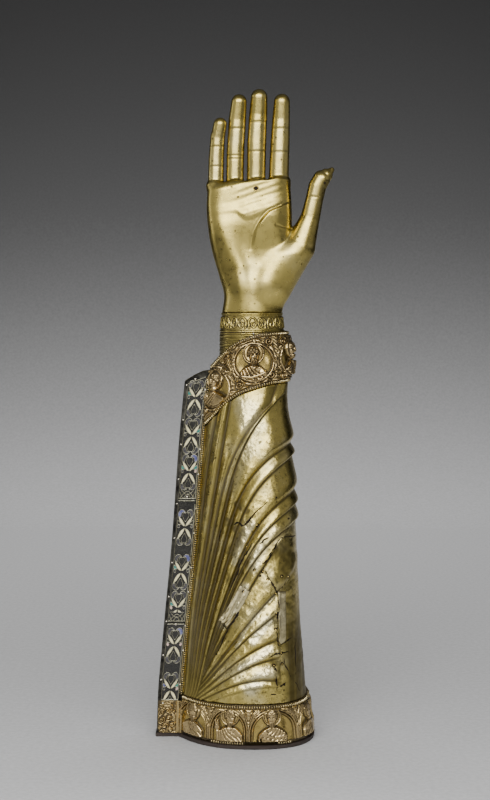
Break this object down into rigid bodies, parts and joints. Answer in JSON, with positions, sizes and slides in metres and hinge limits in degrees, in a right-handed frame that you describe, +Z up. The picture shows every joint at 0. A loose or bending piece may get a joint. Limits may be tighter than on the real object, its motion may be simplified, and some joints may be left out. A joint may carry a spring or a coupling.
{
  "type": "arm reliquary",
  "caption": "Standing arm reliquary: an open right hand rising from a draped, banded sleeve, gilt silver with enamel plaques.",
  "frame": {"origin": "middle of the flat underside of the oak board", "axes": "+Z up through the middle finger, the palm faces -Y, the thumb points to +X"},
  "size_m": [0.1416, 0.095, 0.51],
  "materials": {
    "oak": "dark aged oak",
    "gilt_silver": "hammered silver sheet with worn pale gilding",
    "embossed_gilt": "embossed silver sheet, warm gilding with dark recesses",
    "enamel": "polished enamel in gilt cells"
  },
  "bodies": {
    "root": {"base_board": "oak", "sleeve": "gilt_silver", "base_band": "embossed_gilt", "cuff_band": "embossed_gilt", "corner_mount": "embossed_gilt", "enamel_plaque_upper": "enamel", "enamel_plaque_middle": "enamel", "enamel_plaque_lower": "enamel", "under_sleeve": "gilt_silver", "hand": "gilt_silver"}
  },
  "joints": []
}
